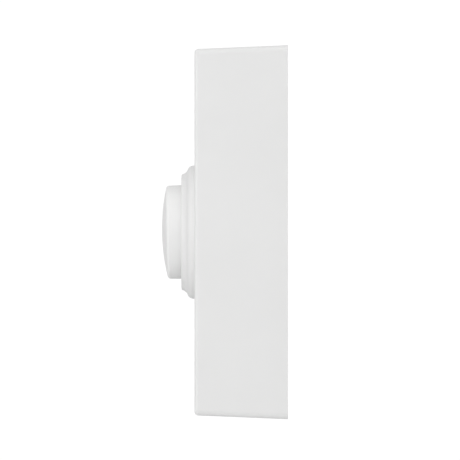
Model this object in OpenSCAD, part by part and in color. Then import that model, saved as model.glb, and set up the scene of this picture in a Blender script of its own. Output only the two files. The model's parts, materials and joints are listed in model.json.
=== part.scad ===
// Battery video doorbell: a drafted box housing with a moulded round bezel and a
// domed push button, hung on a wall plate by four hooks and held by one screw.
// Every module draws in the same local frame: x to the right, y up, z out from
// the wall. stand() turns it, so that up is +Z and the front faces -Y.

/* [Housing] */
// Width of the housing at the wall
body_w = 52; // [50:0.5:60]
// Height of the housing at the wall
body_h = 120; // [119:0.5:130]
// Depth of the housing from the wall to its front face
body_d = 30; // [29.5:0.5:36]
// Draft of the four sides towards the front, in degrees
draft = 2.3; // [1.5:0.1:2.6]
// Thickness of the housing's walls
wall = 2.2; // [2.1:0.1:2.4]
// Radius of the four long corners
corner_r = 2; // [1.8:0.1:3]
// Radius of the edge round the front face
edge_r = 1.2; // [0.6:0.1:1.5]

/* [Bezel] */
// Outer radius of the bezel at the housing
bezel_r = 21.7; // [21.4:0.1:22.6]
// Height of the bezel above the front face
bezel_h = 4.4; // [4.2:0.1:6]
// Radius of the bezel's bead
bead_r = 2; // [1.8:0.1:2.2]
// Radius of the cove between the bead and the lip
cove_r = 2.7; // [2.5:0.1:2.8]

/* [Button] */
// Radius of the button's side
button_r = 15.4; // [14.8:0.1:15.6]
// Height of the button's middle above the bezel
button_h = 6.35; // [5:0.05:7]
// Radius that the button's dome is curved to
dome_r = 66; // [50:1:90]
// Radius of the rounded rim between the dome and the side
rim_fillet = 1.1; // [0.6:0.1:1.3]
// Lean of the button's face, its upper edge outwards, in degrees
face_lean = 1; // [0:0.1:1.2]
// Travel of the button
travel = 1.3; // [0.8:0.1:1.3]

/* [Front layout] */
// Height of the camera's centre above the button's centre
camera_y = 40.7; // [40.2:0.1:41.2]
// Radius of the camera window
window_r = 10.5; // [10.2:0.1:10.9]
// Drop of the motion sensor below the button's centre
motion_y = 31; // [30:0.1:31.5]
// Drop of the loudspeaker below the button's centre
speaker_y = 47.6; // [47.4:0.1:48]
// Columns of holes in the loudspeaker grille
grille_columns = 9; // [5:2:11]

/* [Wall plate] */
// Thickness of the wall plate
plate_t = 3.4; // [3.2:0.1:3.4]
// Radius of the wall screw holes
wall_hole_r = 2.2; // [1.8:0.1:2.4]
// Spacing of the wall screw holes across the plate
wall_hole_dx = 32; // [31:0.5:33]
// Spacing of the wall screw holes up the plate
wall_hole_dy = 88; // [86:0.5:90]
// Distance that the doorbell lifts to leave its hooks
lift = 4; // [3.5:0.1:4]

/* [Hidden] */
$fn = 64;

eps = 0.01;
crown_flat = 0.2;
sides = [-1, 1];

// Layers, each as its distance from the wall
cover_z = plate_t + 0.4;
cover_t = 1.6;
cover_in = cover_z + cover_t;
gasket_t = 0.9;
ledge_z = cover_in + gasket_t;
ledge_t = 1.2;
pad_t = 0.6;
battery_z = cover_in + pad_t;
battery_t = 10;
board_z = battery_z + battery_t + 2.2;
board_t = 1.2;
board_front = board_z + board_t;
frame_z = board_front + 1;
frame_t = 1.2;
frame_front = frame_z + frame_t;
front_in = body_d - wall;

// Screw places
cover_screw_x = 18.4;
cover_screw_y = body_h / 2 - 7.6;
boss_r = 2.6;
thread_r = 1;
cover_head_r = 2.05;
cover_head_h = cover_head_r - thread_r;
pilot_r = 1.05;
frame_screw_x = 18.6;
frame_screw_ys = [24.6, -38.6];
camera_screw_x = 9.6;
camera_screw_dy = 8.6;
small_thread_r = 0.8;

// Rear cover outline, with its notch over the screw alcove
cover_gap = 0.25;
cover_half_w = body_w / 2 - cover_in * tan(draft) - wall - cover_gap;
cover_half_h = body_h / 2 - cover_in * tan(draft) - wall - cover_gap;
notch_half = 9.3;
notch_h = 14.6;

// Alcove behind the bottom wall, for the plate's lug and its screw
alcove_half = 7.5;
alcove_top = -body_h / 2 + 15.5;
alcove_z = 10.6;
alcove_wall = 1.5;
lug_half = 5;
lug_bottom = -body_h / 2 + 9.2;
lug_top = -body_h / 2 + 14.5;
lug_z = 10.2;
lock_z = 6.6;
lock_head_r = 2.75;
lock_head_h = 2;
lock_ring_t = 0.6;
lock_shank_r = 1.5;
lock_seat_y = -body_h / 2 + 3.1;
lock_boss_y = -body_h / 2 + 4.4;
lock_tip_y = -body_h / 2 + 13;
insert_r = 2.2;
insert_bore_r = 1.6;

// Wall plate
plate_half_w = 22.5;
plate_top = body_h / 2 - 3;
plate_bottom = lug_bottom;
plate_corner_r = 2.5;
screw_head_r = 4.2;
screw_head_sink = 2.1;
wire_half_w = 10.5;
wire_top = -15;
wire_bottom = -38;
hook_w = 5;
hook_t = 2.2;
hook_lip = 3;
hook_lip_t = 1.6;
hook_gap = 0.3;
hook_out = cover_in + hook_gap + hook_lip_t;
hooks = [[-9, 48.6], [9, 48.6], [-16, -33.8], [16, -33.8]];
pocket_wall = 1.2;

// Button and what it works against
button_draft = 0.2;
button_wall = 1.7;
button_skin = 0.5;
core_t = 0.8;
flange_r = 16.8;
flange_t = 1;
ring_gap = 0.4;
ring_t = 0.9;
ring_flange_r = 19.2;
ring_flange_t = 1;
sleeve_end = front_in - 0.8;
sleeve_r = 19.3;
sleeve_bore_r = button_r + ring_gap + ring_t + 0.1;
bezel_top = body_d + bezel_h;
apex_z = bezel_top + button_h;
dome_centre_z = apex_z - dome_r;
fillet_x = button_r - button_draft - rim_fillet;
fillet_z = dome_centre_z + sqrt(pow(dome_r - rim_fillet, 2) - pow(fillet_x, 2));
ceiling_z = fillet_z - 1;
flange_z = sleeve_end - ring_flange_t - flange_t;
stem_r = 2.6;
spring_boss_r = 6.2;
spring_boss_z = 31;
switch_h = 3.5;
switch_w = 6;
plunger_r = 1.7;
plunger_out = travel;
plunger_z = board_front + switch_h + plunger_out;
stem_end = plunger_z + 0.05;
spring_r = 5.5;
spring_wire_r = 0.28;
spring_turns = 5;
leg_r = 18.1;
leg_w = 2;
leg_angles = [45, 135, 225, 315];

// Camera stack
barrel_r = 6;
barrel_front = front_in + 0.1;
front_lens_r = 4.5;
rear_lens_r = 3.2;
holder_half = 7.5;
holder_neck_r = 7.3;
holder_top = barrel_front - 2.7;
mask_z = front_in + 0.6;
mask_t = 0.2;
mask_bore_r = 5;
window_hole_r = window_r - 0.9;
camera_board_h = 21;
ir_ring_r = 7.8;

// Lower front
pir_lens_r = 6.5;
pir_lens_t = 1;
pir_hole_r = 5.6;
pir_can_r = 4.6;
pir_can_top = board_front + 4.4;
speaker_w = 30;
speaker_h = 15;
speaker_z = front_in - 3.8;
speaker_front = front_in - 0.8;
magnet_r = 5.5;
grille_rows = 3;
grille_pitch = 2.3;
grille_hole_r = 0.65;
microphone_y = 26;

// Battery pack
battery_w = 38;
battery_top = 39.6;
battery_bottom = -20.2;

// Main board
board_half_w = 21;
board_top = 28.4;
board_bottom = -body_h / 2 + 3.8;

// Charging port in the bottom wall
usb_half_t = 1.58;
port_z = board_front + usb_half_t;
port_half_w = 4.8;
port_half_t = 1.9;
door_half_w = 7.4;
door_z0 = port_z - 3.6;
door_z1 = port_z + 4.2;
door_t = 1.1;
door_gap = 0.2;
hinge_r = 0.75;
hinge_hole_r = 0.4;
hinge_pin_r = 0.35;
door_y = skin_y(port_z) + door_t;
hinge_y = skin_y(door_z0) + hinge_r;

// Terminals and the reset button
terminal_x = 5.5;
terminal_y = -24.5;
terminal_thread_r = 1.5;
terminal_boss_z = cover_in + 3;
terminal_boss_r = 3.1;
reset_y = -36;
reset_r = 1.5;
reset_travel = 0.4;
reset_switch_t = 1.7;
reset_stop_z = cover_in + 3.4;
reset_boss_r = 2.9;

// Colours
white_plastic = [0.9, 0.9, 0.89];
black_plastic = [0.07, 0.07, 0.08];
grey_plastic = [0.32, 0.33, 0.35];
board_green = [0.06, 0.3, 0.16];
chip_black = [0.09, 0.09, 0.1];
steel = [0.72, 0.73, 0.75];
brass = [0.8, 0.65, 0.32];
rubber_black = [0.05, 0.05, 0.05];
rubber_grey = [0.55, 0.56, 0.57];
milky = [0.94, 0.95, 0.95];
clear = [0.75, 0.82, 0.86];

// Outer surface of the bottom wall at a distance z from the wall
function skin_y(z) = -(body_h / 2 - z * tan(draft));

// Points of an arc from angle a0 to a1
function arc(cx, cy, r, a0, a1, steps = 8) =
    [for (i = [0:steps]) let (a = a0 + (a1 - a0) * i / steps) [cx + r * cos(a), cy + r * sin(a)]];

// Arc of a dome about the axis, from the angle a0 up to the small flat at its top
function crown(cy, r, a0, steps) =
    let (a1 = acos(crown_flat / r))
    concat(arc(0, cy, r, a0, a1, steps), [[0, cy + r * sin(a1)]]);

// Outline of a rectangle with round corners, centred on the origin
function round_rect(w, h, r, steps = 5) =
    [for (q = [0:3], i = [0:steps])
        let (a = 90 * q + 90 * i / steps,
             sx = (q == 0 || q == 3) ? 1 : -1,
             sy = (q < 2) ? 1 : -1)
        [sx * (w / 2 - r) + r * cos(a), sy * (h / 2 - r) + r * sin(a)]];

function unit(v) = v / norm(v);

// Rings of points round a route, square to it; axis is a direction never along the route
function tube_points(route, r, n, axis) =
    [for (i = [0:len(route) - 1])
        let (before = route[max(i - 1, 0)],
             after = route[min(i + 1, len(route) - 1)],
             along = unit(after - before),
             side = unit(cross(along, axis)),
             up = cross(side, along))
        for (k = [0:n - 1]) route[i] + r * (cos(360 * k / n) * side + sin(360 * k / n) * up)];

function tube_faces(rings, n) =
    concat([[for (k = [n - 1:-1:0]) k]],
           [[for (k = [0:n - 1]) (rings - 1) * n + k]],
           [for (i = [0:rings - 2], k = [0:n - 1])
               let (a = i * n + k, b = i * n + (k + 1) % n)
               each [[a, b, a + n], [b, b + n, a + n]]]);

module tube(route, r, n = 8, axis = [1, 0, 0]) {
    polyhedron(points = tube_points(route, r, n, axis), faces = tube_faces(len(route), n));
}

module stand() {
    rotate([90, 0, 0]) children();
}

// A plate of an outline, between two distances from the wall
module slab(z0, z1) {
    translate([0, 0, z0]) linear_extrude(z1 - z0) children();
}

// A round bar along z between two distances from the wall
module bar(r, z0, z1) {
    translate([0, 0, z0]) cylinder(r = r, h = z1 - z0);
}

// A box by its centre across and up, and its two distances from the wall
module block(x, y, w, h, z0, z1) {
    translate([x - w / 2, y - h / 2, z0]) cube([w, h, z1 - z0]);
}

module ring(outer, inner, z0, z1) {
    difference() {
        bar(outer, z0, z1);
        bar(inner, z0 - 1, z1 + 1);
    }
}

// A disc whose front edge is bevelled
module edged_disc(r, z0, z1) {
    bevel = 0.25;
    bar(r, z0, z1 - bevel);
    translate([0, 0, z1 - bevel]) cylinder(r1 = r, r2 = r - bevel, h = bevel);
}

// At each cover screw
module at_cover_screws() {
    for (sx = sides, sy = sides) translate([sx * cover_screw_x, sy * cover_screw_y, 0]) children();
}

module at_frame_screws() {
    for (sx = sides, y = frame_screw_ys) translate([sx * frame_screw_x, y, 0]) children();
}

module at_camera_screws() {
    for (sx = sides, sy = sides)
        translate([sx * camera_screw_x, camera_y + sy * camera_screw_dy, 0]) children();
}

module at_legs() {
    for (a = leg_angles) rotate(a) translate([leg_r, 0, 0]) children();
}

// A cross recess that sinks from z = 0 upwards
module cross_recess(reach, depth) {
    for (a = [0, 90])
        rotate(a) translate([-reach, -reach / 4, -1]) cube([2 * reach, reach / 2, depth + 1]);
}

// ---------------------------------------------------------------- housing

// The drafted box; the front edge is rounded in steps
module body_form() {
    steps = 10;
    hull()
        for (sx = sides, sy = sides) {
            translate([sx * (body_w / 2 - corner_r), sy * (body_h / 2 - corner_r), 0])
                cylinder(r = corner_r, h = eps, $fn = 72);
            for (i = [0:steps])
                let (a = 90 * i / steps,
                     z = body_d - edge_r + edge_r * sin(a),
                     r = corner_r - edge_r * (1 - cos(a)),
                     in = corner_r + (body_d - edge_r) * tan(draft))
                translate([sx * (body_w / 2 - in), sy * (body_h / 2 - in), z - eps])
                    cylinder(r = r, h = eps, $fn = 72);
        }
}

// The space inside the walls, open at the wall side
module body_space() {
    inner_r = 1;
    hull()
        for (sx = sides, sy = sides, z = [-1, front_in - eps])
            let (in = wall + inner_r + z * tan(draft))
            translate([sx * (body_w / 2 - in), sy * (body_h / 2 - in), z])
                cylinder(r = inner_r, h = eps, $fn = 24);
}

// The rear cover's outline, drawn in by g
module seal_outline(g) {
    difference() {
        polygon(round_rect(2 * (cover_half_w - g), 2 * (cover_half_h - g), 1));
        translate([-(notch_half + g), -cover_half_h - 1]) square([2 * (notch_half + g), notch_h + g + 1]);
    }
}

module seal_ledge() {
    into_wall = 0.9;
    slab(ledge_z, ledge_z + ledge_t)
        difference() {
            square([2 * (cover_half_w + into_wall), 2 * (cover_half_h + into_wall)], center = true);
            seal_outline(1.8);
        }
}

module alcove_walls() {
    block(0, (alcove_top + alcove_wall + skin_y(0) + 1) / 2, 2 * (alcove_half + alcove_wall),
          alcove_top + alcove_wall - skin_y(0) - 1, cover_z, alcove_z + alcove_wall);
}

module alcove_space() {
    floor_y = skin_y(0) + wall + 0.3;
    difference() {
        block(0, (alcove_top + floor_y) / 2, 2 * alcove_half, alcove_top - floor_y, -1, alcove_z);
        block(0, (lock_boss_y + floor_y) / 2 - 1, 8, lock_boss_y - floor_y + 2, 2.6, alcove_z + 1);
    }
}

// Head recess and shank hole of the security screw, upwards through the bottom wall
module lock_hole() {
    translate([0, -body_h / 2 - 1, lock_z]) rotate([-90, 0, 0]) {
        cylinder(r = lock_head_r + 0.35, h = lock_seat_y + body_h / 2 + 1);
        cylinder(r = lock_shank_r + 0.2, h = lock_boss_y + body_h / 2 + 2);
    }
}

module grille_holes() {
    for (c = [0:grille_columns - 1], r = [0:grille_rows - 1])
        translate([(c - (grille_columns - 1) / 2) * grille_pitch,
                   -speaker_y + (r - (grille_rows - 1) / 2) * grille_pitch, 0])
            bar(grille_hole_r, front_in - 1, body_d + 1);
}

// Recess, mouth, hinge groove and finger notch of the charging port
module port_cutout() {
    nail_r = 2.4;
    groove_r = hinge_r + door_gap;
    block(0, door_y - 2, 2 * (door_half_w + door_gap), 4, door_z0, door_z1 + door_gap);
    block(0, hinge_y - 2, 2 * (door_half_w + door_gap), 4, door_z0 - groove_r, door_z0 + 1);
    translate([-port_half_w + port_half_t, door_y - 1, port_z])
        rotate([-90, 0, 0]) linear_extrude(5)
            polygon([for (p = round_rect(2 * port_half_w, 2 * port_half_t, port_half_t - eps))
                     [p[0] + port_half_w - port_half_t, p[1]]]);
    translate([-door_half_w - door_gap, hinge_y, door_z0]) rotate([0, 90, 0])
        cylinder(r = groove_r, h = 2 * (door_half_w + door_gap));
    translate([-door_half_w - 1.4, hinge_y, door_z0]) rotate([0, 90, 0])
        cylinder(r = hinge_pin_r, h = 2 * (door_half_w + 1.4));
    translate([0, door_y - 4, door_z1]) rotate([-90, 0, 0]) cylinder(r = nail_r, h = 3.6);
}

module front_housing() {
    color(white_plastic)
        difference() {
            union() {
                difference() {
                    body_form();
                    body_space();
                }
                seal_ledge();
                alcove_walls();
                at_cover_screws() bar(boss_r, cover_in, front_in + 0.5);
                at_frame_screws() bar(boss_r, frame_front, front_in + 0.5);
            }
            alcove_space();
            lock_hole();
            at_cover_screws() bar(pilot_r, cover_in - 1, cover_in + 11);
            at_frame_screws() bar(pilot_r, frame_front - 1, front_in - 0.6);
            bar(sleeve_r + 0.1, front_in - 1, body_d + 1);
            translate([0, camera_y, 0]) {
                bar(window_hole_r, front_in - 1, body_d + 1);
                bar(window_r + 0.08, mask_z, body_d + 1);
            }
            translate([0, -motion_y, 0]) {
                bar(pir_hole_r, front_in - 1, body_d + 1);
                bar(pir_lens_r + 0.08, body_d - pir_lens_t, body_d + 1);
            }
            grille_holes();
            translate([0, microphone_y, 0]) bar(0.6, front_in - 1, body_d + 1);
            port_cutout();
        }
}

// Ogee moulding: a bead that runs through a cove into a rounded lip
function bezel_profile() =
    let (lip_r = 0.45,
         bead_end = 68,
         cove_end = 17,
         bead_x = bezel_r - bead_r,
         bead_z = bezel_top - lip_r + (cove_r + lip_r) * sin(cove_end) - (bead_r + cove_r) * sin(bead_end),
         cove_x = bead_x + (bead_r + cove_r) * cos(bead_end),
         cove_z = bead_z + (bead_r + cove_r) * sin(bead_end))
    concat([[sleeve_bore_r, sleeve_end], [sleeve_r, sleeve_end], [sleeve_r, body_d], [bezel_r, body_d]],
           arc(bead_x, bead_z, bead_r, 0, bead_end, 12),
           arc(cove_x, cove_z, cove_r, 180 + bead_end - 5, 180 + cove_end, 10),
           arc(cove_x - (cove_r + lip_r) * cos(cove_end), bezel_top - lip_r, lip_r, cove_end + 10, 90, 5),
           [[sleeve_bore_r, bezel_top]]);

module bezel_ring() {
    snap_w = 5;
    color(white_plastic) {
        rotate_extrude() polygon(bezel_profile());
        intersection() {
            rotate_extrude()
                polygon([[sleeve_r - 0.5, sleeve_end], [sleeve_r + 0.2, sleeve_end],
                         [sleeve_r + 0.9, front_in - 0.05], [sleeve_r - 0.5, front_in - 0.05]]);
            for (a = [0, 90]) rotate(a) block(0, 0, snap_w, 60, sleeve_end - 1, body_d);
        }
    }
}

module light_ring() {
    inner = button_r + ring_gap;
    color(milky) {
        rotate_extrude()
            polygon([[inner, sleeve_end - ring_flange_t], [ring_flange_r, sleeve_end - ring_flange_t],
                     [ring_flange_r, sleeve_end], [inner + ring_t, sleeve_end],
                     [inner + ring_t, bezel_top - 0.8], [inner, bezel_top - 0.8]]);
        at_legs() block(0, 0, leg_w, leg_w, frame_z - 0.1, sleeve_end - ring_flange_t + 0.3);
    }
}

module lens_window() {
    color(clear) translate([0, camera_y, 0]) edged_disc(window_r, mask_z + mask_t, body_d);
}

module window_mask() {
    color(black_plastic)
        translate([0, camera_y, 0]) ring(window_r, mask_bore_r, mask_z, mask_z + mask_t);
}

module pir_lens() {
    color(milky) translate([0, -motion_y, 0]) edged_disc(pir_lens_r, body_d - pir_lens_t, body_d);
}

module pir_hood() {
    color(black_plastic)
        translate([0, -motion_y, 0])
            ring(pir_hole_r - 0.2, pir_hole_r - 0.9, pir_can_top + 0.1, body_d - pir_lens_t);
}

// ---------------------------------------------------------------- rear cover

// Pocket behind the cover that a hook turns up into; p is the hook's place
module hook_pocket_block(p) {
    w = hook_w + 0.6 + 2 * pocket_wall;
    block(p[0], p[1] - 1.4, w, lift + hook_t + hook_lip + 0.9 + 2 * pocket_wall, cover_in - 0.2,
          hook_out + 0.4 + pocket_wall);
}

module hook_pocket_space(p) {
    w = hook_w + 0.6;
    bottom = p[1] - hook_t - lift - 0.3;
    mouth_top = p[1] + 0.05;
    cavity_top = p[1] + hook_lip + 0.35;
    block(p[0], (bottom + mouth_top) / 2, w, mouth_top - bottom, cover_z - 1, cover_in + 1);
    block(p[0], (bottom + cavity_top) / 2, w, cavity_top - bottom, cover_in, hook_out + 0.4);
}

module rear_cover() {
    color(grey_plastic)
        difference() {
            union() {
                slab(cover_z, cover_in) seal_outline(0);
                for (p = hooks) hook_pocket_block(p);
                for (sx = sides)
                    translate([sx * terminal_x, terminal_y, 0])
                        bar(terminal_boss_r, cover_in - 0.2, terminal_boss_z);
                translate([0, reset_y, 0]) bar(reset_boss_r, cover_in - 0.2, reset_stop_z);
            }
            for (p = hooks) hook_pocket_space(p);
            at_cover_screws() {
                bar(thread_r + 0.15, cover_z - 1, cover_in + 1);
                translate([0, 0, cover_z - eps])
                    cylinder(r1 = cover_head_r + eps, r2 = thread_r, h = cover_head_h + eps);
            }
            for (sx = sides)
                translate([sx * terminal_x, terminal_y, 0])
                    bar(terminal_thread_r + 0.05, cover_z - 1, terminal_boss_z + 1);
            translate([0, reset_y, 0]) bar(reset_r + 0.1, cover_z - 1, cover_in + 5);
        }
}

module rear_gasket() {
    color(rubber_grey)
        slab(cover_in, ledge_z)
            difference() {
                seal_outline(0.3);
                seal_outline(1.5);
            }
}

module cover_screws() {
    color(steel)
        at_cover_screws()
            difference() {
                union() {
                    translate([0, 0, cover_z]) cylinder(r1 = cover_head_r, r2 = thread_r, h = cover_head_h);
                    bar(thread_r, cover_z + 0.5, cover_z + 9.5);
                }
                translate([0, 0, cover_z]) cross_recess(1.1, 0.7);
            }
}

module terminal_screws() {
    head_h = 1.6;
    head_z = cover_z - 0.5 - head_h;
    color(steel)
        for (sx = sides)
            translate([sx * terminal_x, terminal_y, 0])
                difference() {
                    union() {
                        bar(2.6, head_z, cover_z - 0.5);
                        bar(terminal_thread_r, cover_z - 0.6, terminal_boss_z - 0.4);
                    }
                    translate([0, 0, head_z]) cross_recess(1.6, 0.9);
                }
}

module terminal_plates() {
    color(brass)
        for (sx = sides)
            difference() {
                block(sx * terminal_x, terminal_y, 7, 7.4, cover_z - 0.5, cover_z);
                translate([sx * terminal_x, terminal_y, 0])
                    bar(terminal_thread_r + 0.05, cover_z - 1, cover_z + 1);
            }
}

// Spring pins that carry the terminals' power to the board
module terminal_pins() {
    color(brass)
        for (sx = sides)
            translate([sx * terminal_x, terminal_y, 0]) {
                bar(terminal_thread_r, terminal_boss_z - 0.3, terminal_boss_z + 0.5);
                bar(0.9, terminal_boss_z + 0.3, board_z - 1.5);
                bar(0.5, board_z - 1.6, board_z);
            }
}

module reset_button() {
    color(grey_plastic)
        translate([0, reset_y, 0]) {
            bar(reset_r, cover_z - 0.3, board_z - reset_switch_t - reset_travel - 0.05);
            bar(2.4, reset_stop_z, reset_stop_z + 0.8);
        }
}

module reset_switch() {
    color(steel) block(0, reset_y, 4.2, 3.2, board_z - reset_switch_t, board_z);
}

// ---------------------------------------------------------------- wall plate

// One hook: a neck out from the plate, and a lip that turns up
module hook(p) {
    block(p[0], p[1] - hook_t / 2, hook_w, hook_t, plate_t - 0.5, hook_out);
    block(p[0], p[1] + (hook_lip - hook_t) / 2, hook_w, hook_lip + hook_t, cover_in + hook_gap, hook_out);
}

module wall_plate() {
    mid_y = (plate_top + plate_bottom) / 2;
    color(grey_plastic)
        difference() {
            union() {
                slab(0, plate_t)
                    translate([0, mid_y])
                        polygon(round_rect(2 * plate_half_w, plate_top - plate_bottom, plate_corner_r));
                for (p = hooks) hook(p);
                block(0, (lug_top + lug_bottom) / 2, 2 * lug_half, lug_top - lug_bottom,
                      plate_t - 0.5, lug_z);
            }
            for (sx = sides, sy = sides)
                translate([sx * wall_hole_dx / 2, sy * wall_hole_dy / 2, 0]) {
                    bar(wall_hole_r, -1, plate_t + 1);
                    bar(screw_head_r, plate_t - screw_head_sink, plate_t + 1);
                }
            slab(-1, plate_t + 1)
                translate([0, (wire_top + wire_bottom) / 2])
                    polygon(round_rect(2 * wire_half_w, wire_top - wire_bottom, 2));
            translate([0, lug_bottom - 1, lock_z]) rotate([-90, 0, 0])
                cylinder(r = insert_r, h = lug_top - lug_bottom + 2);
        }
}

module plate_insert() {
    color(brass)
        translate([0, lug_bottom, lock_z]) rotate([-90, 0, 0])
            difference() {
                cylinder(r = insert_r, h = lug_top - lug_bottom);
                translate([0, 0, -1]) cylinder(r = insert_bore_r, h = lug_top - lug_bottom + 2);
            }
}

module security_screw() {
    pin_r = 0.5;
    socket_r = 1.4;
    socket_depth = 1.2;
    head_y = lock_seat_y - lock_ring_t - lock_head_h;
    color(steel)
        translate([0, head_y, lock_z]) rotate([-90, 0, 0]) {
            difference() {
                union() {
                    cylinder(r = lock_head_r, h = lock_head_h);
                    cylinder(r = lock_shank_r, h = lock_tip_y - head_y);
                }
                translate([0, 0, -eps]) cylinder(r = socket_r, h = socket_depth, $fn = 6);
            }
            cylinder(r = pin_r, h = socket_depth + 0.2);
        }
}

module screw_o_ring() {
    color(rubber_black)
        translate([0, lock_seat_y - lock_ring_t, lock_z]) rotate([-90, 0, 0])
            difference() {
                cylinder(r = lock_head_r - 0.15, h = lock_ring_t);
                translate([0, 0, -1]) cylinder(r = lock_shank_r + 0.05, h = lock_ring_t + 2);
            }
}

// ---------------------------------------------------------------- charging port door

module port_door() {
    knuckle_h = 2 * (door_half_w - 0.2);
    color(white_plastic)
        difference() {
            union() {
                translate([-door_half_w, 0, 0]) rotate([0, 90, 0]) linear_extrude(2 * door_half_w)
                    polygon([[-door_z0, door_y - 0.1], [-door_z1, door_y - 0.1],
                             [-door_z1, skin_y(door_z1)], [-door_z0, skin_y(door_z0)]]);
                translate([-door_half_w, hinge_y, door_z0]) rotate([0, 90, 0])
                    cylinder(r = hinge_r, h = 2 * door_half_w);
            }
            translate([-door_half_w - 1, hinge_y, door_z0]) rotate([0, 90, 0])
                cylinder(r = hinge_hole_r, h = 2 * door_half_w + 2);
        }
}

module port_plug() {
    color(rubber_grey)
        translate([0, door_y - 0.1, port_z]) rotate([-90, 0, 0]) linear_extrude(0.9)
            polygon(round_rect(2 * port_half_w - 0.8, 2 * port_half_t - 0.8, port_half_t - 0.5));
}

module hinge_pin() {
    reach = door_half_w + 1.2;
    color(steel)
        translate([-reach, hinge_y, door_z0]) rotate([0, 90, 0]) cylinder(r = hinge_pin_r, h = 2 * reach);
}

// ---------------------------------------------------------------- button

// Half a section of the cap's core: stem, spring seat, skirt with its stop, and ceiling
function core_profile() =
    let (inner = button_r - button_wall,
         outer = button_r - button_skin)
    [[0, stem_end], [stem_r, stem_end], [stem_r, spring_boss_z], [spring_boss_r, spring_boss_z],
     [spring_boss_r, ceiling_z], [inner - 0.15, ceiling_z], [inner, flange_z],
     [flange_r, flange_z], [flange_r, flange_z + flange_t], [outer, flange_z + flange_t],
     [outer, ceiling_z + core_t], [0, ceiling_z + core_t]];

// Half a section of the cap's face, a cup over the core: side, rounded rim and dome
function face_profile() =
    let (inner = button_r - (button_wall + button_skin) / 2,
         skirt_z = flange_z + flange_t + 1,
         meet = atan2(fillet_z - dome_centre_z, fillet_x))
    concat([[inner, ceiling_z + core_t / 2], [inner, skirt_z], [button_r, skirt_z]],
           arc(fillet_x, fillet_z, rim_fillet, 0, meet, 7),
           crown(dome_centre_z, dome_r, meet + 1, 20),
           [[0, ceiling_z + core_t / 2]]);

module button_cap() {
    color(white_plastic) {
        rotate_extrude() polygon(core_profile());
        translate([0, 0, fillet_z]) rotate([face_lean, 0, 0]) translate([0, 0, -fillet_z])
            rotate_extrude() polygon(face_profile());
    }
}

module switch_body() {
    color(chip_black)
        difference() {
            block(0, 0, switch_w, switch_w, board_front, board_front + switch_h);
            bar(plunger_r + 0.1, board_front + switch_h - travel - 0.5, board_front + switch_h + 1);
        }
}

module switch_plunger() {
    color(black_plastic) bar(plunger_r, board_front + switch_h - 0.3, plunger_z);
}

module button_spring() {
    per_turn = 18;
    steps = spring_turns * per_turn;
    z0 = frame_front + spring_wire_r;
    z1 = spring_boss_z - spring_wire_r;
    color(steel)
        tube([for (i = [0:steps])
                 let (a = 360 * i / per_turn)
                 [spring_r * cos(a), spring_r * sin(a), z0 + (z1 - z0) * i / steps]],
             spring_wire_r, 6, [0, 0, 1]);
}

// ---------------------------------------------------------------- frame and boards

module inner_frame() {
    half_w = 21.5;
    top = body_h / 2 - 5.4;
    bottom = -body_h / 2 + 4.4;
    camera_half = 8;
    corner_notch = 8;
    color(black_plastic)
        difference() {
            union() {
                block(0, (top + bottom) / 2, 2 * half_w, top - bottom, frame_z, frame_front);
                at_frame_screws() bar(2.2, board_front, frame_z + 0.1);
                at_camera_screws() bar(1.5, board_front, frame_z + 0.1);
                for (sx = sides)
                    block(sx * (speaker_w / 2 - 2), -speaker_y, 2, 9, frame_front - 0.1, speaker_z);
            }
            at_cover_screws() block(0, 0, corner_notch, corner_notch, frame_z - 1, frame_front + 1);
            at_frame_screws() bar(pilot_r, board_front - 1, frame_front + 1);
            at_camera_screws() bar(small_thread_r + 0.05, board_front - 1, frame_front + 1);
            block(0, camera_y, 2 * camera_half, 2 * camera_half, frame_z - 1, frame_front + 1);
            bar(switch_w * 0.78, frame_z - 1, frame_front + 1);
            at_legs() block(0, 0, leg_w + 1, leg_w + 1, frame_z - 1, frame_front + 1);
            translate([0, microphone_y, 0]) bar(2.7, frame_z - 1, frame_front + 1);
            translate([0, -motion_y, 0]) bar(pir_can_r + 0.6, frame_z - 1, frame_front + 1);
            block(0, bottom, 11, 2 * 8, frame_z - 1, frame_front + 1);
        }
}

module main_board() {
    color(board_green)
        difference() {
            block(0, (board_top + board_bottom) / 2, 2 * board_half_w, board_top - board_bottom,
                  board_z, board_front);
            at_cover_screws() bar(boss_r + 0.5, board_z - 1, board_front + 1);
            at_frame_screws() bar(pilot_r, board_z - 1, board_front + 1);
        }
}

// Main chip, memory and power chips on the front of the board
module board_chips() {
    chip_t = 0.8;
    color(chip_black) {
        block(-6.5, 9.5, 9, 9, board_front, board_front + chip_t);
        block(6.5, 9, 7, 6, board_front, board_front + chip_t);
        block(-7, -9, 6, 5, board_front, board_front + chip_t);
        block(7, -9, 4, 4, board_front, board_front + chip_t);
    }
}

module shield_can() {
    can_t = 1.7;
    sheet = 0.2;
    color(steel)
        difference() {
            block(4, 12, 22, 18, board_z - can_t, board_z);
            block(4, 12, 22 - 2 * sheet, 18 - 2 * sheet, board_z - can_t + sheet, board_z + 1);
        }
}

module wifi_antenna() {
    color(brass) {
        block(-17.5, 4, 0.4, 14, board_front + 0.4, board_front + 0.8);
        for (y = [-2.8, 2, 10.8]) block(-17.5, y, 0.4, 0.8, board_front, board_front + 0.5);
    }
}

module ring_leds() {
    color([0.95, 0.93, 0.7]) at_legs() block(0, 0, 1.6, 1.2, board_front, board_front + 0.7);
}

module pir_sensor() {
    color(steel)
        translate([0, -motion_y, 0]) {
            bar(pir_can_r + 0.4, board_front, board_front + 0.6);
            bar(pir_can_r, board_front + 0.5, pir_can_top);
        }
}

module microphone() {
    color(steel) block(0, microphone_y, 3.6, 2.8, board_front, board_front + 1);
}

module microphone_boot() {
    color(rubber_black)
        translate([0, microphone_y, 0])
            difference() {
                bar(2.4, board_front + 1, front_in);
                bar(0.6, board_front, front_in + 1);
            }
}

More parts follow.
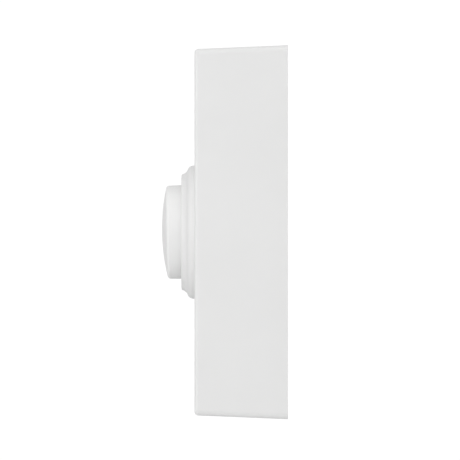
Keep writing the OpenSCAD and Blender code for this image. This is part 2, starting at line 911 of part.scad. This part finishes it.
// Receptacle with its tongue; the mouth faces down
module usb_socket() {
    mouth_y = skin_y(port_z) + wall + 0.1;
    length = 7.3;
    width = 8.94;
    shell = 0.3;
    color(steel)
        translate([0, mouth_y, port_z]) rotate([-90, 0, 0]) {
            difference() {
                linear_extrude(length) polygon(round_rect(width, 2 * usb_half_t, 1.4));
                translate([0, 0, -1]) linear_extrude(length)
                    polygon(round_rect(width - 2 * shell, 2 * (usb_half_t - shell), 1.1));
            }
            translate([-3.3, -0.35, 0.8]) cube([6.6, 0.7, length - 1]);
        }
}

// ---------------------------------------------------------------- camera

module camera_board() {
    color(board_green)
        difference() {
            block(0, camera_y, 23.4, camera_board_h, board_z, board_front);
            at_camera_screws() bar(small_thread_r + 0.05, board_z - 1, board_front + 1);
        }
}

module image_sensor() {
    color(chip_black) translate([0, camera_y, 0]) block(0, 0, 8, 7, board_front, board_front + 1);
}

module lens_holder() {
    color(black_plastic)
        translate([0, camera_y, 0])
            difference() {
                union() {
                    block(0, 0, 2 * holder_half, 2 * holder_half, board_front, board_front + 3);
                    bar(holder_neck_r, board_front + 2.9, holder_top);
                }
                block(0, 0, 9.4, 8.4, board_front - 1, board_front + 1.6);
                bar(barrel_r + 0.02, board_front + 1.5, holder_top + 1);
            }
}

module lens_barrel() {
    step_z = barrel_front - 2.2;
    color(black_plastic)
        translate([0, camera_y, 0])
            rotate_extrude()
                polygon([[rear_lens_r, board_front + 1.8], [barrel_r, board_front + 1.8],
                         [barrel_r, barrel_front - 0.3], [barrel_r - 0.3, barrel_front],
                         [mask_bore_r, barrel_front], [front_lens_r, step_z + 1.4],
                         [front_lens_r, step_z], [rear_lens_r, step_z - 0.6]]);
}

// Front element, rear element and infrared filter
module lens_glass() {
    front = barrel_front - 0.5;
    r = front_lens_r;
    bulge = 1.5;
    big = (r * r + bulge * bulge) / (2 * bulge);
    swing = asin(r / big);
    seat = front - bulge - 0.2;
    color(clear)
        translate([0, camera_y, 0]) {
            rotate_extrude()
                polygon(concat([[0, seat], [r, seat]], crown(front - big, big, 90 - swing, 10)));
            bar(rear_lens_r, seat - 3, seat - 1.4);
            bar(rear_lens_r, board_front + 1.9, board_front + 2.4);
        }
}

module lens_seal() {
    color(rubber_black) translate([0, camera_y, 0]) ring(barrel_r - 0.4, mask_bore_r, barrel_front, mask_z);
}

module ir_board() {
    color(board_green) translate([0, camera_y, 0]) ring(9.3, barrel_r + 0.2, holder_top, holder_top + 0.8);
}

module ir_leds() {
    color(clear)
        translate([0, camera_y, 0])
            for (a = [45, 135, 225, 315])
                rotate(a) translate([ir_ring_r, 0, 0]) {
                    block(0, 0, 2.2, 2.2, holder_top + 0.8, holder_top + 1.3);
                    bar(0.9, holder_top + 1.2, holder_top + 1.9);
                }
}

module light_sensor() {
    color(chip_black) block(0, camera_y + ir_ring_r, 2, 1.6, holder_top + 0.8, holder_top + 1.5);
}

// Ribbon between the two boards, with its sockets
module camera_flex() {
    socket_t = 1;
    ribbon_t = 0.2;
    lower_y = board_top - 3;
    upper_y = camera_y - camera_board_h / 2 + 3;
    color([0.75, 0.45, 0.12]) {
        for (y = [lower_y, upper_y]) block(0, y, 10, 3, board_z - socket_t, board_z);
        block(0, (lower_y + upper_y) / 2, 8, upper_y - lower_y - 2.9,
              board_z - 0.6, board_z - 0.6 + ribbon_t);
    }
}

module camera_screws() {
    color(steel)
        at_camera_screws()
            difference() {
                union() {
                    bar(1.4, board_z - 0.8, board_z);
                    bar(small_thread_r, board_z - 0.1, frame_front);
                }
                translate([0, 0, board_z - 0.8]) cross_recess(0.8, 0.4);
            }
}

module frame_screws() {
    color(steel)
        at_frame_screws()
            difference() {
                union() {
                    bar(1.9, board_z - 1.2, board_z);
                    bar(thread_r, board_z - 0.1, board_z + 8);
                }
                translate([0, 0, board_z - 1.2]) cross_recess(1.1, 0.6);
            }
}

// ---------------------------------------------------------------- loudspeaker

module speaker_inside() {
    rim = 1.2;
    polygon(round_rect(speaker_w - 2 * rim, speaker_h - 2 * rim, 4));
}

module speaker_basket() {
    color(black_plastic)
        translate([0, -speaker_y, 0])
            difference() {
                slab(speaker_z, speaker_front) polygon(round_rect(speaker_w, speaker_h, 5));
                slab(speaker_z + 1, speaker_front + 1) speaker_inside();
                bar(magnet_r, speaker_z - 1, speaker_front);
            }
}

// Diaphragm with a raised centre and a rolled surround
module speaker_cone() {
    z = speaker_front - 1;
    color(grey_plastic)
        translate([0, -speaker_y, 0]) {
            slab(z, z + 0.3) speaker_inside();
            slab(z + 0.2, z + 0.8) difference() {
                polygon(round_rect(speaker_w - 4, speaker_h - 4, 3.4));
                polygon(round_rect(speaker_w - 6, speaker_h - 6, 2.6));
            }
            bar(3.4, z + 0.2, z + 0.7);
        }
}

module speaker_magnet() {
    color(steel) translate([0, -speaker_y, 0]) bar(magnet_r, speaker_z - 1.2, speaker_z + 1.4);
}

module speaker_gasket() {
    color(rubber_black)
        translate([0, -speaker_y, 0])
            slab(speaker_front, front_in)
                difference() {
                    polygon(round_rect(speaker_w, speaker_h, 5));
                    polygon(round_rect(speaker_w - 3, speaker_h - 3, 3.6));
                }
}

module speaker_mesh() {
    color(chip_black)
        translate([0, -speaker_y, 0])
            slab(front_in - 0.15, front_in) polygon(round_rect(speaker_w - 3.4, speaker_h - 3.4, 3.4));
}

// ---------------------------------------------------------------- battery

module battery_pack() {
    color([0.13, 0.27, 0.5])
        slab(battery_z, battery_z + battery_t)
            translate([0, (battery_top + battery_bottom) / 2])
                polygon(round_rect(battery_w, battery_top - battery_bottom, 2.5));
}

module battery_pad() {
    color(rubber_grey) block(0, (battery_top + battery_bottom) / 2, battery_w - 8, 50, cover_in, battery_z);
}

// Two wires from the pack's lower edge to the plug on the board
module battery_leads() {
    plug_z = board_z - 1.5;
    start_z = battery_z + battery_t - 2;
    wire_r = 0.6;
    rise = plug_z - start_z;
    drop = [[0, 0], [-1.2, 0], [-2.6, 0.2], [-3.8, 0.7], [-4.8, 1.6], [-5.7, 2.35],
            [-6.8, rise], [-7.8, rise]];
    for (sx = sides)
        color(sx < 0 ? [0.7, 0.1, 0.1] : [0.08, 0.08, 0.08])
            tube([for (p = drop) [15 + sx, battery_bottom + p[0], start_z + p[1]]], wire_r, 8);
}

module battery_plug() {
    color(milky) block(15, battery_bottom - 10.8, 6, 6, board_z - 2.6, board_z);
}

stand() wall_plate();
stand() plate_insert();
stand() front_housing();
stand() bezel_ring();
stand() light_ring();
stand() lens_window();
stand() window_mask();
stand() pir_lens();
stand() pir_hood();
stand() rear_cover();
stand() rear_gasket();
stand() inner_frame();
stand() lens_barrel();
stand() lens_glass();
stand() lens_holder();
stand() lens_seal();
stand() image_sensor();
stand() camera_board();
stand() ir_board();
stand() ir_leds();
stand() light_sensor();
stand() camera_flex();
stand() main_board();
stand() board_chips();
stand() shield_can();
stand() wifi_antenna();
stand() ring_leds();
stand() pir_sensor();
stand() microphone();
stand() microphone_boot();
stand() switch_body();
stand() reset_switch();
stand() usb_socket();
stand() speaker_basket();
stand() speaker_cone();
stand() speaker_magnet();
stand() speaker_gasket();
stand() speaker_mesh();
stand() battery_pack();
stand() battery_pad();
stand() battery_leads();
stand() battery_plug();
stand() terminal_screws();
stand() terminal_plates();
stand() terminal_pins();
stand() cover_screws();
stand() frame_screws();
stand() camera_screws();
stand() hinge_pin();
stand() button_spring();
stand() button_cap();
stand() switch_plunger();
stand() screw_o_ring();
stand() security_screw();
stand() reset_button();
stand() port_door();
stand() port_plug();
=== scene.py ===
import json
import math

import bmesh
import bpy
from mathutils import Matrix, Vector


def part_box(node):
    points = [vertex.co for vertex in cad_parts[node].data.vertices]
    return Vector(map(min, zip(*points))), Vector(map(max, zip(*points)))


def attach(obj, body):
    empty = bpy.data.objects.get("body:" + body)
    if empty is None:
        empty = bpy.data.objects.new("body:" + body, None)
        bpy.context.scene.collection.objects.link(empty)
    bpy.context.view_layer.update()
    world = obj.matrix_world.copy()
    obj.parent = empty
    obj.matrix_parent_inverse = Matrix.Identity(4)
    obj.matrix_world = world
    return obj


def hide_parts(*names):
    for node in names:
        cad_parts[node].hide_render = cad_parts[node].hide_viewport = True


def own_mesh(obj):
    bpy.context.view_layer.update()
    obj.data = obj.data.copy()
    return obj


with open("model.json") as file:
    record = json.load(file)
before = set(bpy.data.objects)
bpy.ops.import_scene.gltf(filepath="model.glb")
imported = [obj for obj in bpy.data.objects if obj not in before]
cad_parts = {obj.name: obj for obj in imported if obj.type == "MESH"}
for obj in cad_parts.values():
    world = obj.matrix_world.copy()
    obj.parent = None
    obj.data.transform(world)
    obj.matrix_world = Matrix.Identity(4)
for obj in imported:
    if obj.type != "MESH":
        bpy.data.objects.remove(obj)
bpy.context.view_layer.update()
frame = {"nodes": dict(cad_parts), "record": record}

MM = 0.001
nodes = frame["nodes"]


# ---------------------------------------------------------------- node helpers

class Graph:
    """A material's node tree, with short calls for the nodes used here."""

    def __init__(self, name):
        self.material = bpy.data.materials.new(name)
        self.material.use_nodes = True
        self.tree = self.material.node_tree
        self.shader = self.tree.nodes["Principled BSDF"]
        self.place = self.add("ShaderNodeTexCoord").outputs["Object"]

    def add(self, kind, **settings):
        node = self.tree.nodes.new(kind)
        for key, value in settings.items():
            setattr(node, key, value)
        return node

    def link(self, source, target):
        self.tree.links.new(source, target)

    def stretch(self, x, y, z):
        """The part's own coordinates, scaled along each axis."""
        mapping = self.add("ShaderNodeMapping")
        mapping.inputs["Scale"].default_value = (x, y, z)
        self.link(self.place, mapping.inputs["Vector"])
        return mapping.outputs["Vector"]

    def noise(self, size, detail=2.0, vector=None):
        """Noise with features about size metres across, from 0 to 1."""
        node = self.add("ShaderNodeTexNoise")
        node.inputs["Scale"].default_value = 1 / size
        node.inputs["Detail"].default_value = detail
        self.link(vector or self.place, node.inputs["Vector"])
        return node.outputs["Fac"]

    def ramp(self, source, low, high, out_low=0.0, out_high=1.0):
        """source from low..high onto out_low..out_high, clamped."""
        node = self.add("ShaderNodeMapRange")
        for key, value in zip(("From Min", "From Max", "To Min", "To Max"), (low, high, out_low, out_high)):
            node.inputs[key].default_value = value
        self.link(source, node.inputs["Value"])
        return node.outputs["Result"]

    def mix(self, factor, a, b):
        """Colour a where factor is 0 and b where it is 1."""
        node = self.add("ShaderNodeMix", data_type="RGBA")
        self.link(factor, node.inputs["Factor"])
        for socket, value in ((node.inputs[6], a), (node.inputs[7], b)):
            if isinstance(value, tuple):
                socket.default_value = (*value, 1.0)
            else:
                self.link(value, socket)
        return node.outputs[2]

    def bump(self, height, depth):
        """Raises the surface by height times depth metres."""
        node = self.add("ShaderNodeBump")
        node.inputs["Distance"].default_value = depth
        self.link(height, node.inputs["Height"])
        self.link(node.outputs["Normal"], self.shader.inputs["Normal"])

    def set(self, **sockets):
        """Numbers on the shader's own sockets; an underscore stands for a space."""
        for key, value in sockets.items():
            self.shader.inputs[key.replace("_", " ")].default_value = value


def shade(color, factor):
    """A colour made darker or lighter by a factor."""
    return tuple(c * factor for c in color)


# ---------------------------------------------------------------- materials

def moulded_plastic(name, color, roughness, grain, depth, gloss=0.5):
    """Moulded plastic: a fine spark grain, slow changes of tone and a roughness that follows the grain."""
    g = Graph(name)
    tone = g.ramp(g.noise(0.02, 3), 0.35, 0.65)
    g.link(g.mix(tone, shade(color, 0.985), color), g.shader.inputs["Base Color"])
    fine = g.noise(grain, 3)
    g.link(g.ramp(fine, 0.3, 0.7, roughness - 0.04, roughness + 0.04), g.shader.inputs["Roughness"])
    g.bump(fine, depth)
    g.set(Specular_IOR_Level=gloss)
    return g.material


def milky_plastic(name):
    """White plastic that lets some light through."""
    g = Graph(name)
    tone = g.ramp(g.noise(0.006, 2), 0.35, 0.65)
    g.link(g.mix(tone, (0.81, 0.81, 0.80), (0.87, 0.87, 0.86)), g.shader.inputs["Base Color"])
    fine = g.noise(0.0004, 2)
    g.link(g.ramp(fine, 0.3, 0.7, 0.3, 0.4), g.shader.inputs["Roughness"])
    g.bump(fine, 0.004 * MM)
    g.set(Subsurface_Weight=0.35, Subsurface_Scale=0.002, Subsurface_Radius=(1.0, 0.95, 0.9))
    return g.material


def dark_glass(name):
    """Smoked glass with a faint haze."""
    g = Graph(name)
    haze = g.noise(0.0012, 3)
    g.link(g.ramp(haze, 0.3, 0.7, 0.02, 0.05), g.shader.inputs["Roughness"])
    tone = g.ramp(g.noise(0.01, 2), 0.3, 0.7)
    g.link(g.mix(tone, (0.40, 0.41, 0.43), (0.44, 0.45, 0.47)), g.shader.inputs["Base Color"])
    g.set(Transmission_Weight=0.95, IOR=1.49)
    return g.material


def coated_glass(name):
    """Lens glass with a pale blue coating tint, and a painted violet reflection of the coating that grows
    towards the edge.
    """
    g = Graph(name)
    facing = g.add("ShaderNodeLayerWeight").outputs["Facing"]
    # Base colour: pale blue coating tint face-on, blending into a painted violet coating reflection as the
    # surface turns away from view.
    coating_tint_and_painted_reflection = g.mix(g.ramp(facing, 0.1, 0.8), (0.75, 0.88, 0.98), (0.62, 0.45, 0.9))
    g.link(coating_tint_and_painted_reflection, g.shader.inputs["Base Color"])
    g.link(g.ramp(g.noise(0.0006, 2), 0.3, 0.7, 0.01, 0.04), g.shader.inputs["Roughness"])
    g.set(Transmission_Weight=0.9, IOR=1.6)
    return g.material


def soft_rubber(name, color):
    """Matt rubber with a fine grain."""
    g = Graph(name)
    fine = g.noise(0.0003, 4)
    g.link(g.mix(g.ramp(fine, 0.3, 0.7), shade(color, 0.7), color), g.shader.inputs["Base Color"])
    g.link(g.ramp(fine, 0.3, 0.7, 0.65, 0.8), g.shader.inputs["Roughness"])
    g.bump(fine, 0.02 * MM)
    return g.material


def circuit_board(name):
    """Green solder mask over copper tracks, with plated holes."""
    g = Graph(name)
    track = g.add("ShaderNodeTexBrick", offset=0.35, squash=1.4)
    sizes = {"Scale": 1.0, "Mortar Size": 0.12 * MM, "Mortar Smooth": 0.1,
             "Brick Width": 3.1 * MM, "Row Height": 0.9 * MM}
    for key, value in sizes.items():
        track.inputs[key].default_value = value
    turn = g.add("ShaderNodeMapping")
    turn.inputs["Rotation"].default_value = (math.radians(90), 0, 0)
    g.link(g.place, turn.inputs["Vector"])
    g.link(turn.outputs["Vector"], track.inputs["Vector"])
    mask = g.mix(track.outputs["Fac"], (0.012, 0.10, 0.045), (0.03, 0.2, 0.08))
    dots = g.add("ShaderNodeTexVoronoi", feature="F1")
    dots.inputs["Scale"].default_value = 1 / (2.2 * MM)
    g.link(g.place, dots.inputs["Vector"])
    hole = g.ramp(dots.outputs["Distance"], 0.16, 0.13)
    g.link(g.mix(hole, mask, (0.7, 0.52, 0.2)), g.shader.inputs["Base Color"])
    g.link(hole, g.shader.inputs["Metallic"])
    g.link(g.ramp(g.noise(0.001, 2), 0.3, 0.7, 0.25, 0.4), g.shader.inputs["Roughness"])
    g.bump(track.outputs["Fac"], 0.02 * MM)
    return g.material


def metal(name, color, roughness, lines=(1, 1, 8), size=0.0006):
    """Plated or machined metal, with fine lines across one axis."""
    g = Graph(name)
    marks = g.noise(size, 3, g.stretch(*lines))
    g.link(g.mix(g.ramp(marks, 0.3, 0.7), shade(color, 0.88), color), g.shader.inputs["Base Color"])
    g.link(g.ramp(marks, 0.3, 0.7, roughness - 0.06, roughness + 0.08), g.shader.inputs["Roughness"])
    g.bump(marks, 0.004 * MM)
    g.set(Metallic=1.0)
    return g.material


def wound_film(name, color):
    """Glossy shrink film with slow wrinkles."""
    g = Graph(name)
    wrinkle = g.noise(0.004, 4, g.stretch(1, 1, 3))
    g.link(g.mix(g.ramp(wrinkle, 0.3, 0.7), shade(color, 0.8), color), g.shader.inputs["Base Color"])
    g.link(g.ramp(wrinkle, 0.3, 0.7, 0.18, 0.32), g.shader.inputs["Roughness"])
    g.bump(wrinkle, 0.15 * MM)
    return g.material


def wire_cover(name):
    """Red on the wire nearer the doorbell's middle and black on the other."""
    g = Graph(name)
    between = 15 * MM
    blur = 0.02 * MM
    split = g.add("ShaderNodeSeparateXYZ")
    g.link(g.place, split.inputs["Vector"])
    red = g.ramp(split.outputs["X"], between + blur, between - blur)
    g.link(g.mix(red, (0.012, 0.012, 0.012), (0.5, 0.02, 0.02)), g.shader.inputs["Base Color"])
    fine = g.noise(0.0005, 2)
    g.link(g.ramp(fine, 0.3, 0.7, 0.35, 0.5), g.shader.inputs["Roughness"])
    g.bump(fine, 0.01 * MM)
    return g.material


MATERIALS = {
    "white_plastic": moulded_plastic("white_plastic", (0.80, 0.80, 0.797), 0.5, 0.25 * MM, 0.003 * MM, 0.35),
    "button_plastic": moulded_plastic("button_plastic", (0.85, 0.85, 0.847), 0.55, 0.3 * MM, 0.002 * MM, 0.2),
    "grey_plastic": moulded_plastic("grey_plastic", (0.10, 0.104, 0.11), 0.52, 0.25 * MM, 0.02 * MM),
    "black_plastic": moulded_plastic("black_plastic", (0.012, 0.012, 0.014), 0.48, 0.2 * MM, 0.01 * MM),
    "milky_plastic": milky_plastic("milky_plastic"),
    "dark_glass": dark_glass("dark_glass"),
    "clear_glass": coated_glass("clear_glass"),
    "seal_rubber": soft_rubber("seal_rubber", (0.05, 0.05, 0.052)),
    "circuit_board": circuit_board("circuit_board"),
    "chip": moulded_plastic("chip", (0.018, 0.018, 0.02), 0.55, 0.08 * MM, 0.01 * MM),
    "amber_film": wound_film("amber_film", (0.55, 0.24, 0.03)),
    "steel": metal("steel", (0.60, 0.61, 0.62), 0.3),
    "brass": metal("brass", (0.72, 0.52, 0.22), 0.28),
    "led_white": moulded_plastic("led_white", (0.85, 0.78, 0.35), 0.3, 0.1 * MM, 0.004 * MM),
    "cone_film": wound_film("cone_film", (0.06, 0.06, 0.065)),
    "woven_wire": metal("woven_wire", (0.05, 0.05, 0.052), 0.45),
    "battery_wrap": wound_film("battery_wrap", (0.03, 0.09, 0.28)),
    "lead_cover": wire_cover("lead_cover"),
}


def dress(thing, slot):
    """Gives an object one material from the list."""
    thing.data.materials.clear()
    thing.data.materials.append(MATERIALS[slot])


for part in frame["record"]["subparts"]:
    dress(nodes[part["node"]], part["material_slot"])


# ---------------------------------------------------------------- pieces made here

def spot(x, y, z):
    """A point from its place across, up and out from the wall, in millimetres."""
    return Vector((x, -z, y)) * MM


def loft(shape, rings):
    """One closed skin through rings of points, each ring with the same count."""
    count = len(rings[0])
    rows = [[shape.verts.new(point) for point in ring] for ring in rings]
    for low, high in zip(rows, rows[1:]):
        for k in range(count):
            after = (k + 1) % count
            shape.faces.new((low[k], low[after], high[after], high[k]))
    shape.faces.new(list(reversed(rows[0])))
    shape.faces.new(rows[-1])


def add_piece(name, skins, slot, body, stands_for, sharp=35):
    """A piece of one or more closed skins, which takes the place of a CAD node."""
    shape = bmesh.new()
    for rings in skins:
        loft(shape, rings)
    bmesh.ops.recalc_face_normals(shape, faces=shape.faces)
    mesh = bpy.data.meshes.new(name)
    shape.to_mesh(mesh)
    shape.free()
    mesh.shade_smooth()
    mesh.set_sharp_from_angle(angle=math.radians(sharp))
    piece = bpy.data.objects.new(name, mesh)
    bpy.context.scene.collection.objects.link(piece)
    dress(piece, slot)
    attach(piece, body)
    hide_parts(stands_for)
    return piece


def tube(route, radius, sides):
    """Rings of points round a route, square to it."""
    rings = []
    for i, point in enumerate(route):
        along = (route[min(i + 1, len(route) - 1)] - route[max(i - 1, 0)]).normalized()
        side = along.cross(Vector((0, 1, 0))).normalized()
        lift = side.cross(along)
        turns = [2 * math.pi * k / sides for k in range(sides)]
        rings.append([point + radius * (math.cos(t) * side + math.sin(t) * lift) for t in turns])
    return rings


def node_span(node):
    """A node's lowest and highest place across, up and out from the wall, in millimetres."""
    low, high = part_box(node)
    return (low[0] / MM, low[2] / MM, -high[1] / MM), (high[0] / MM, high[2] / MM, -low[1] / MM)


def motion_lens():
    """A milky lens whose face is cut into facets, as a motion sensor's is."""
    low, high = node_span("pir_lens")
    centre_y = (low[1] + high[1]) / 2
    radius = (high[0] - low[0]) / 2
    bevel = 0.25
    crown = 0.2
    edge_drop = 0.02
    groove_half = 0.13
    groove_depth = 0.13
    facet_inset = 0.05
    ring_edges = (1.5, 3.7)
    centre_r = 0.02
    back_centre_r = 0.05
    around = 144
    steps = 56
    turns = [2 * math.pi * k / around for k in range(around)]

    def height(r, turn):
        sectors = 12 if r > ring_edges[1] else 6
        to_ring = min(abs(r - edge) for edge in ring_edges)
        to_spoke = groove_half
        if r > ring_edges[0]:
            part = 2 * math.pi / sectors
            to_spoke = r * abs((turn + part / 2) % part - part / 2)
        near = min(to_ring, to_spoke, groove_half) / groove_half
        return high[2] - crown * (r / radius) ** 2 - groove_depth * (1 - near * near)

    def ring(r, z=None):
        return [spot(r * math.cos(t), centre_y + r * math.sin(t), height(r, t) if z is None else z)
                for t in turns]

    edge = high[2] - crown - edge_drop
    rings = [ring(back_centre_r, low[2]), ring(radius, low[2]),
             ring(radius, edge - bevel), ring(radius - bevel, edge)]
    rings += [ring((radius - bevel - facet_inset) * (1 - i / steps) + centre_r) for i in range(steps + 1)]
    add_piece("motion_lens", [rings], "milky_plastic", "unit", "pir_lens", 50)


def press_spring():
    """A round-wire spring with closed ends, between the frame and the button."""
    low, high = node_span("button_spring")
    wire = 0.28
    coil = (high[0] - low[0]) / 2 - wire
    turns = 6.5
    closed = 0.8
    per_turn = 36
    count = int(turns * per_turn)
    route = []
    for i in range(count + 1):
        turn = i / per_turn
        share = min(max((turn - closed) / (turns - 2 * closed), 0), 1)
        ends = min(turn, closed) + max(turn - turns + closed, 0)
        climb = high[2] - low[2] - 2 * wire - 4 * closed * wire
        rise = low[2] + wire + 2 * wire * ends + climb * share
        angle = 2 * math.pi * turn
        route.append(spot(coil * math.cos(angle), coil * math.sin(angle), rise))
    spring = add_piece("press_spring", [tube(route, wire * MM, 10)], "steel", "unit", "button_spring", 60)
    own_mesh(spring)


def lock_screw():
    """A pan head with a pin in its hexagon socket, a plain neck and a right-handed thread."""
    low, high = node_span("security_screw")
    centre_z = (low[2] + high[2]) / 2
    head_r = (high[2] - low[2]) / 2
    length = high[1] - low[1]
    head_h = 2.0
    rim_w = 0.35
    rim_h = 0.5
    back_bevel = 0.05
    neck = 0.15
    shank_r = 1.5
    thread_h = 0.26
    pitch = 0.5
    thread_start = 5.2
    point_h = 0.5
    socket_r = 1.4
    socket_bevel = 0.14
    socket_depth = 1.2
    pin_r = 0.5
    pin_bevel = 0.12
    pinhole = 0.05
    around = 48
    steps_per_pitch = 12
    turns = [2 * math.pi * k / around for k in range(around)]

    def ring(r, h):
        radii = r if isinstance(r, list) else [r] * around
        return [spot(q * math.cos(t), low[1] + h, centre_z + q * math.sin(t)) for q, t in zip(radii, turns)]

    side = math.radians(60)
    hexagon = [socket_r * math.cos(side / 2) / math.cos(t % side - side / 2) for t in turns]
    rings = [ring(pinhole, pin_bevel), ring(pin_r - pin_bevel, pin_bevel), ring(pin_r, 2 * pin_bevel),
             ring(pin_r, socket_depth), ring(hexagon, socket_depth), ring(hexagon, socket_bevel),
             ring([q + socket_bevel for q in hexagon], 0.0)]
    rings += [ring(head_r - rim_w + rim_w * math.sin(a), rim_h - rim_h * math.cos(a))
              for a in (math.radians(15 * k) for k in range(7))]
    rings += [ring(head_r, head_h - back_bevel), ring(head_r - back_bevel, head_h),
              ring(shank_r + neck, head_h), ring(shank_r, head_h + neck), ring(shank_r, thread_start)]
    tip = length - 0.02
    steps = int((tip - thread_start) / pitch * steps_per_pitch)
    for i in range(1, steps + 1):
        h = thread_start + (tip - thread_start) * i / steps
        run_in = min((h - thread_start) / pitch, 1)
        point = max(0, h - tip + point_h)
        wave = [0.5 - 0.5 * math.cos(2 * math.pi * (h / pitch) + t) for t in turns]
        rings.append(ring([shank_r - point - thread_h * run_in * w for w in wave], h))
    rings.append(ring(pinhole, tip))
    add_piece("lock_screw", [rings], "steel", "lock_screw", "security_screw", 50)


def woven_mesh():
    """Fine woven wire behind the loudspeaker's holes."""
    low, high = node_span("speaker_mesh")
    wire = 0.035
    gap = 0.32
    middle = ((low[0] + high[0]) / 2, (low[1] + high[1]) / 2, (low[2] + high[2]) / 2)
    half = ((high[0] - low[0]) / 2, (high[1] - low[1]) / 2)
    corner = 3.4
    skins = []
    for axis in (0, 1):
        across, reach = half[1 - axis], half[axis]
        lines = int((across - 0.1) / gap)
        for line in range(-lines, lines + 1):
            offset = line * gap
            cut = max(abs(offset) - across + corner, 0)
            span = reach - corner + math.sqrt(corner * corner - cut * cut)
            steps = int(span / gap)
            route = []
            for step in range(-steps, steps + 1):
                over = 1 if (step + line + axis) % 2 else -1
                place = (step * gap, offset) if axis == 0 else (offset, step * gap)
                route.append(spot(middle[0] + place[0], middle[1] + place[1], middle[2] + over * wire))
            skins.append(tube(route, wire * MM, 4))
    add_piece("acoustic_mesh", skins, "woven_wire", "unit", "speaker_mesh", 60)


motion_lens()
press_spring()
lock_screw()
woven_mesh()


# ---------------------------------------------------------------- stage

def area_light(name, turn, rise, power):
    """A soft round lamp: turn degrees from +X towards the front, rise degrees up, pointed at the doorbell."""
    distance = 1.2
    across = 0.5
    centre = Vector((0, -20 * MM, 0))
    data = bpy.data.lights.new(name, "AREA")
    data.shape = "DISK"
    data.size = across
    data.energy = power
    turn, rise = math.radians(turn), math.radians(rise)
    away = Vector((math.cos(turn) * math.cos(rise), -math.sin(turn) * math.cos(rise), math.sin(rise)))
    lamp = bpy.data.objects.new(name, data)
    lamp.location = centre + away * distance
    lamp.rotation_euler = away.to_track_quat("Z", "Y").to_euler()
    bpy.context.scene.collection.objects.link(lamp)


def add_floor(height, radius):
    """A pale round floor below the doorbell, which hangs in the air as it does on its wall."""
    mesh = bpy.data.meshes.new("floor")
    shape = bmesh.new()
    bmesh.ops.create_circle(shape, cap_ends=True, segments=96, radius=radius)
    bmesh.ops.translate(shape, verts=shape.verts, vec=(0, 0, height))
    shape.to_mesh(mesh)
    shape.free()
    floor = bpy.data.objects.new("floor", mesh)
    bpy.context.scene.collection.objects.link(floor)
    g = Graph("floor_paint")
    tone = g.ramp(g.noise(0.4, 2), 0.3, 0.7)
    g.link(g.mix(tone, (0.79, 0.79, 0.79), (0.81, 0.81, 0.81)), g.shader.inputs["Base Color"])
    g.link(g.ramp(g.noise(0.01, 2), 0.3, 0.7, 0.85, 0.95), g.shader.inputs["Roughness"])
    mesh.materials.append(g.material)


def add_camera(aim, distance, plane, width):
    """Looks along -X at aim; width is what the frame spans on the plane x = plane."""
    data = bpy.data.cameras.new("camera")
    data.lens = data.sensor_width * (distance - plane) / width
    data.clip_end = 10
    camera = bpy.data.objects.new("camera", data)
    camera.location = (distance, aim[0], aim[1])
    camera.rotation_euler = (math.radians(90), 0, math.radians(90))
    bpy.context.scene.collection.objects.link(camera)
    bpy.context.scene.camera = camera


def add_world(base, lobes):
    """A white room: base everywhere, and for each lobe (axis, side, gain) more or less from that side."""
    world = bpy.data.worlds.new("studio")
    world.use_nodes = True
    tree = world.node_tree

    def calc(operation, *values):
        node = tree.nodes.new("ShaderNodeMath")
        node.operation = operation
        for socket, value in zip(node.inputs, values):
            if isinstance(value, (int, float)):
                socket.default_value = value
            else:
                tree.links.new(value, socket)
        return node.outputs["Value"]

    axes = tree.nodes.new("ShaderNodeSeparateXYZ")
    tree.links.new(tree.nodes.new("ShaderNodeTexCoord").outputs["Generated"], axes.inputs["Vector"])
    strength = calc("ADD", base, 0.0)
    for axis, side, gain in lobes:
        toward = calc("MAXIMUM", calc("MULTIPLY", axes.outputs[axis], side), 0.0)
        strength = calc("ADD", strength, calc("MULTIPLY", calc("POWER", toward, 2.0), gain))
    background = tree.nodes["Background"]
    background.inputs["Color"].default_value = (1, 1, 1, 1)
    tree.links.new(strength, background.inputs["Strength"])
    bpy.context.scene.world = world


LAMPS = (("side_light", 28, 14, 4.5),
         ("corner_light", 45, -5, 3.1),
         ("top_light", 0, 80, 3.3),
         ("rear_light", 245, 8, 3.0))

for name, turn, rise, power in LAMPS:
    area_light(name, turn, rise, power)
add_world(0.47, (("X", -1, 0.58), ("Y", -1, -0.23)))
bpy.context.scene.view_settings.view_transform = "Standard"
add_floor(height=-0.16, radius=1.2)
add_camera(aim=(-18.6 * MM, 0.7 * MM), distance=1.5, plane=25.4 * MM, width=147.4 * MM)
